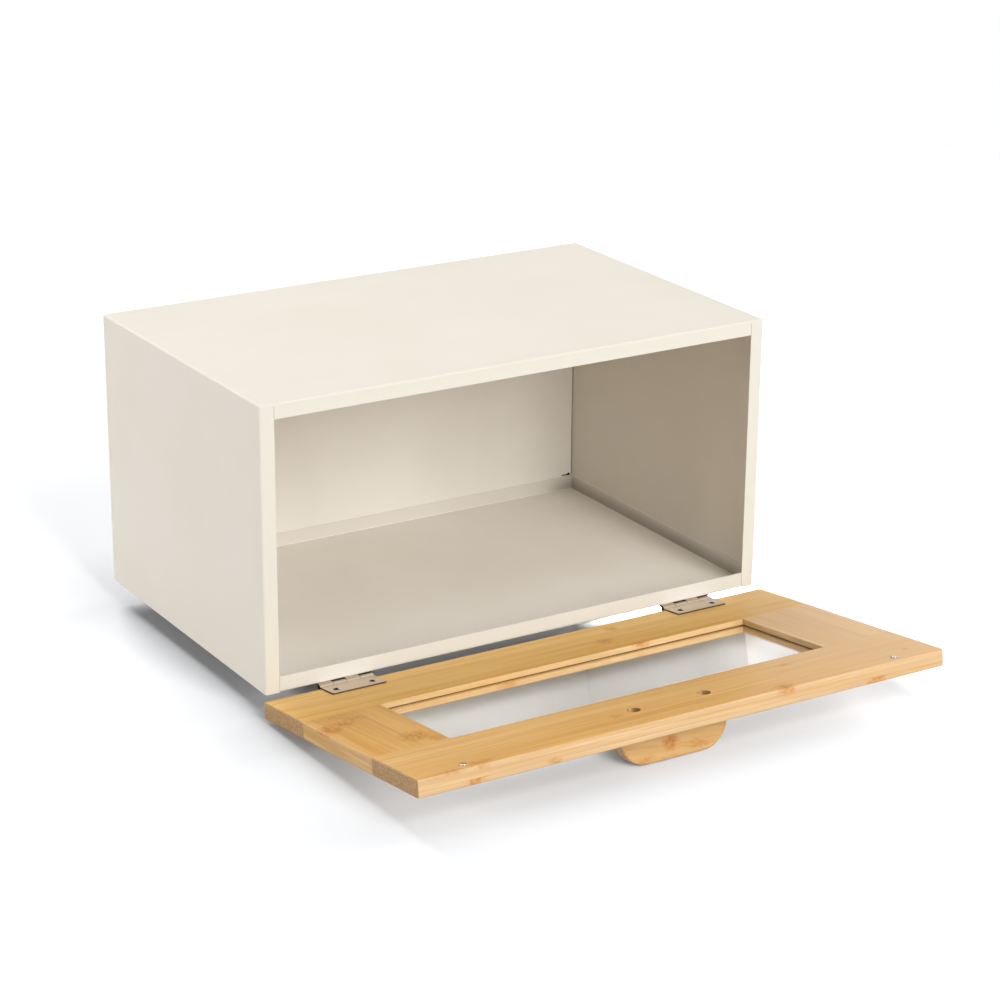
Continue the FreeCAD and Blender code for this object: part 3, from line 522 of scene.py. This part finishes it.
def screw_steel():
    """Zinc-plated screw heads, painted black as a dark reflection, but for one painted glint right
    of the middle.
    """
    zinc = Finish("screw_steel")
    speckle = zinc.noise(zinc.object_point(), 1500.0, 3.0, 0.7)
    painted_glint = zinc.blend(speckle, shade("F4F0E8"), shade("FFFDFA"))
    # Painted highlight and reflection: bright where the head leans a little right, near-black round
    # it.
    facing = zinc.flat_facing()
    lean = zinc.length(zinc.join(zinc.do("SUBTRACT", facing[X], GLINT_LEAN), facing[Y]))
    outside_painted_glint = zinc.ramp(lean, *GLINT_EDGE)
    colour = zinc.blend(outside_painted_glint, painted_glint, shade("241D18"))
    # Painted shade: the cross slot and the thread are painted dark.
    height = zinc.parts(zinc.flat_point())[Z]
    proud = zinc.ramp(height, LEAF_TOP - SLOT_SHADE_BELOW, LEAF_TOP)
    colour = zinc.blend(proud, shade("1C1714"), colour)
    zinc.set("Base Color", colour)
    zinc.set("Metallic", outside_painted_glint)
    zinc.set("Roughness", zinc.ramp(speckle, 0.4, 0.7, 0.16, 0.34))
    return zinc.material


def dark_steel():
    """Nearly black wire of the hinge pins: dark steel, with painted shade for the shadow at the pin
    ends.
    """
    wire = Finish("dark_steel", Metallic=1.0, Roughness=0.5)
    speckle = wire.noise(wire.object_point(), 1200.0, 2.0)
    wire.set("Base Color", wire.blend(speckle, shade("1F1A16"), shade("38302A")))
    return wire.material


def pane_joint_shade():
    """Dark brown, a little uneven: painted shade for the joint along the pane."""
    compound = Finish("pane_joint_shade", Roughness=0.6)
    grain = compound.noise(compound.object_point(), 400.0, 3.0)
    compound.set("Base Color", compound.blend(grain, shade("3A2816"), shade("523A22")))
    compound.bump(grain, 0.00005, 0.5)
    return compound.material


def clear_glass():
    """Clear glass with a slightly hazy shine. Lamps reach what is behind it."""
    glass = Finish("clear_glass", Roughness=0.05, IOR=1.45, Transmission_Weight=1.0,
                   Base_Color=shade("FBFAF7"))
    through = glass.add("ShaderNodeBsdfTransparent", {"Color": shade("E8E8E8")})
    for_shadow = glass.add("ShaderNodeLightPath", output="Is Shadow Ray")
    shaders = {0: for_shadow, 1: glass.shader.outputs[0], 2: through}
    glass.show(glass.add("ShaderNodeMixShader", shaders))
    return glass.material


def foot_rubber():
    """Dull black moulded rubber."""
    rubber = Finish("foot_rubber", Roughness=0.75, Specular_IOR_Level=0.3)
    grain = rubber.noise(rubber.object_point(), 1800.0, 2.0)
    rubber.set("Base Color", rubber.blend(grain, shade("26241F"), shade("38352F")))
    rubber.bump(grain, 0.00003, 0.5)
    return rubber.material


def plain_beech():
    """Fine-grained dowel wood with short flecks along each dowel."""
    beech = Finish("plain_beech", Roughness=0.6)
    fleck = beech.ramp(beech.noise(beech.scaled_point(FLECKS), 1.0, 2.0), 0.4, 0.7)
    beech.set("Base Color", beech.blend(fleck, shade("D8B48A"), shade("B98B5E")))
    return beech.material


# --------------------------------------------------------------------------------------------------
# Pieces
# --------------------------------------------------------------------------------------------------
def dress_pieces():
    """Give every carried-over piece its finish."""
    nickel, polished, steel = satin_nickel(), bright_nickel(), screw_steel()
    pin_shade_steel, rubber = dark_steel(), foot_rubber()
    finishes = {
        "body_wrap": powder_coat("cream_coat", "D8D3C9", "CBC5B8", fold_shade_depth=0.3, fold_shade_rise=0.08),
        "back_panel": powder_coat("cream_coat_back", "EFEAE1", "EFEAE1"),
        "bottom_tray": powder_coat("cream_coat_tray", "FEFBF8", "E3DDD3", rim_painted_shade="DCDBD5",
                                   fold_shade_depth=0.55, fold_shade_rise=0.016),
        "window_glass": clear_glass(), "door_dowels": plain_beech(),
        "case_leaf_rivets": polished, "door_leaf_screws": steel, "handle_screws": steel}
    for name, board in BOARDS.items():
        finishes[name] = Bamboo("bamboo_" + name, board).mix()
    for side in SIDES:
        finishes["case_leaf_" + side] = finishes["door_leaf_" + side] = nickel
        finishes["hinge_pin_" + side] = pin_shade_steel
        finishes["door_magnet_" + side] = polished
        finishes["foot_front_" + side] = finishes["foot_rear_" + side] = rubber
    for name, material in finishes.items():
        slots = NODES[name].material_slots
        for slot in slots:
            slot.material = material
        if not slots:
            NODES[name].data.materials.append(material)


def add_piece(name, shape, place, material, body):
    """Put a built shape in its place, as a piece that moves with a body."""
    bmesh.ops.transform(shape, matrix=place, verts=shape.verts)
    bmesh.ops.recalc_face_normals(shape, faces=shape.faces)
    mesh = bpy.data.meshes.new(name)
    shape.to_mesh(mesh)
    shape.free()
    mesh.materials.append(material)
    piece = bpy.data.objects.new(name, mesh)
    bpy.context.collection.objects.link(piece)
    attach(piece, body)


def lay_pane_bead():
    """Fine dark bead over the joint between the pane and the wood, on the door's inner side, put
    there as painted shade.
    """
    bead = bmesh.new()
    bmesh.ops.create_grid(bead, x_segments=1, y_segments=1, size=1.0)
    bmesh.ops.scale(bead, vec=(WINDOW_HALF + BEAD_BURIED, WINDOW_DEPTH / 2 + BEAD_BURIED, 1),
                    verts=bead.verts)
    middle = bead.faces[:]
    bmesh.ops.inset_region(bead, faces=middle, thickness=BEAD_BURIED + BEAD_SHOWS,
                           use_even_offset=True, use_boundary=True)
    bmesh.ops.delete(bead, geom=middle, context="FACES_ONLY")
    raised = bmesh.ops.extrude_face_region(bead, geom=bead.faces[:])["geom"]
    corners = [corner for corner in raised if isinstance(corner, bmesh.types.BMVert)]
    bmesh.ops.translate(bead, vec=(0, 0, BEAD_HEIGHT), verts=corners)
    place = DOOR_PLACE @ Matrix.Translation((0, WINDOW_NEAR - WINDOW_DEPTH / 2, PANE_TOP))
    add_piece("pane_bead", bead, place, pane_joint_shade(), "door")


def fold_leaf_hem(side, material):
    """Folded hem under a case leaf's front edge, which closes the notches behind the knuckles."""
    low, high = (Vector(corner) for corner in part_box("case_leaf_" + side))
    size = Vector((high.x - low.x - 2 * HEM_INSET, HEM_DEPTH, HEM_THICKNESS))
    middle = Vector(((low.x + high.x) / 2, PIN.y + HEM_START + HEM_DEPTH / 2,
                     high.z - LEAF_GAUGE - HEM_THICKNESS / 2))
    hem = bmesh.new()
    bmesh.ops.create_cube(hem, size=1.0)
    bmesh.ops.scale(hem, vec=size, verts=hem.verts)
    bmesh.ops.bevel(hem, geom=hem.edges[:], offset=HEM_ROUND, offset_type="OFFSET",
                    affect="EDGES", segments=3, profile=0.5, material=-1)
    add_piece("leaf_hem_" + side, hem, Matrix.Translation(middle), material, "case")


# --------------------------------------------------------------------------------------------------
# Table, light and camera
# --------------------------------------------------------------------------------------------------
def lay_table():
    """Pale table top that reads as white wherever nothing shades it."""
    sheet = bmesh.new()
    bmesh.ops.create_grid(sheet, x_segments=1, y_segments=1, size=TABLE_REACH)
    mesh = bpy.data.meshes.new("table_top")
    sheet.to_mesh(mesh)
    sheet.free()
    table = bpy.data.objects.new("table_top", mesh)
    bpy.context.collection.objects.link(table)
    paint = Finish("table_white")
    tone = paint.blend(paint.in_sight(), TABLE_GREY, TABLE_WHITE)
    paint.show(paint.add("ShaderNodeBsdfDiffuse", {"Color": tone}))
    mesh.materials.append(paint.material)
    return table


def hang_lamp(name, place, aim, width, height, watts, receivers, spread=math.pi):
    """Rectangular lamp that lights only its receivers."""
    lamp = bpy.data.lights.new(name, "AREA")
    lamp.shape = "RECTANGLE"
    lamp.size, lamp.size_y = width, height
    lamp.energy = watts
    lamp.spread = spread
    hung = bpy.data.objects.new(name, lamp)
    bpy.context.collection.objects.link(hung)
    hung.location = place
    hung.rotation_euler = (aim - place).to_track_quat("-Z", "Y").to_euler()
    hung.light_linking.receiver_collection = receivers


def hang_soft_box(name, azimuth, elevation, watts, size, receivers):
    """Square lamp that faces the box from LAMP_REACH away.

    The azimuth runs from the front of the box round to its right.
    """
    across, up = math.radians(azimuth), math.radians(elevation)
    way = Vector((math.sin(across) * math.cos(up), -math.cos(across) * math.cos(up), math.sin(up)))
    hang_lamp(name, BOX_MIDDLE + way * LAMP_REACH, BOX_MIDDLE, size, size, watts, receivers)


def light_world():
    """White surroundings for what is seen, mirrored or looked at through the pane."""
    world = bpy.data.worlds.new("studio")
    bpy.context.scene.world = world
    world.use_nodes = True
    sky = Mixture(world.node_tree)
    glow = world.node_tree.nodes["Background"].inputs
    sky.feed(glow["Color"], (1, 1, 1, 1))
    sky.feed(glow["Strength"], sky.in_sight())


def light_studio(table):
    """One ring of lamps for the box, and one for the table, whose shadow stays soft and grey."""
    for_table = bpy.data.collections.new("lit_as_table")
    for_box = bpy.data.collections.new("lit_as_box")
    for_table.objects.link(table)
    # The box's lamps light everything but the table.
    for_box.objects.link(table)
    for_box.collection_objects[0].light_linking.link_state = "EXCLUDE"
    for group, lamps, receivers in (("box", BOX_LAMPS, for_box), ("table", TABLE_LAMPS, for_table)):
        for name, *lamp in lamps:
            hang_soft_box("%s_lamp_%s" % (group, name), *lamp, receivers)
    for name, place, aim, height, watts in STRIPS:
        hang_lamp("table_strip_" + name, place, aim, STRIP_WIDTH, height, watts, for_table,
                  STRIP_SPREAD)
    light_world()


def place_camera():
    """Camera to the left of the box and above it, with a long lens."""
    azimuth, elevation, roll = map(math.radians, CAMERA_ANGLES)
    forward = Vector((-math.sin(azimuth) * math.cos(elevation),
                      math.cos(azimuth) * math.cos(elevation), -math.sin(elevation)))
    right = forward.cross(Vector((0, 0, 1))).normalized()
    up = right.cross(forward)
    across = right * math.cos(roll) + up * math.sin(roll)
    turn = Matrix((across, forward.cross(across) * -1, -forward)).transposed()
    data = bpy.data.cameras.new("camera")
    data.sensor_width, data.lens = CAMERA_SENSOR, CAMERA_LENS
    data.shift_x, data.shift_y = CAMERA_SHIFT
    camera = bpy.data.objects.new("camera", data)
    bpy.context.collection.objects.link(camera)
    camera.matrix_world = Matrix.Translation(CAMERA_PLACE) @ turn.to_4x4()
    bpy.context.scene.camera = camera


dress_pieces()
lay_pane_bead()
hem_nickel = satin_nickel()
for hinge_side in SIDES:
    fold_leaf_hem(hinge_side, hem_nickel)
light_studio(lay_table())
place_camera()
bpy.context.scene.view_settings.view_transform = "Standard"
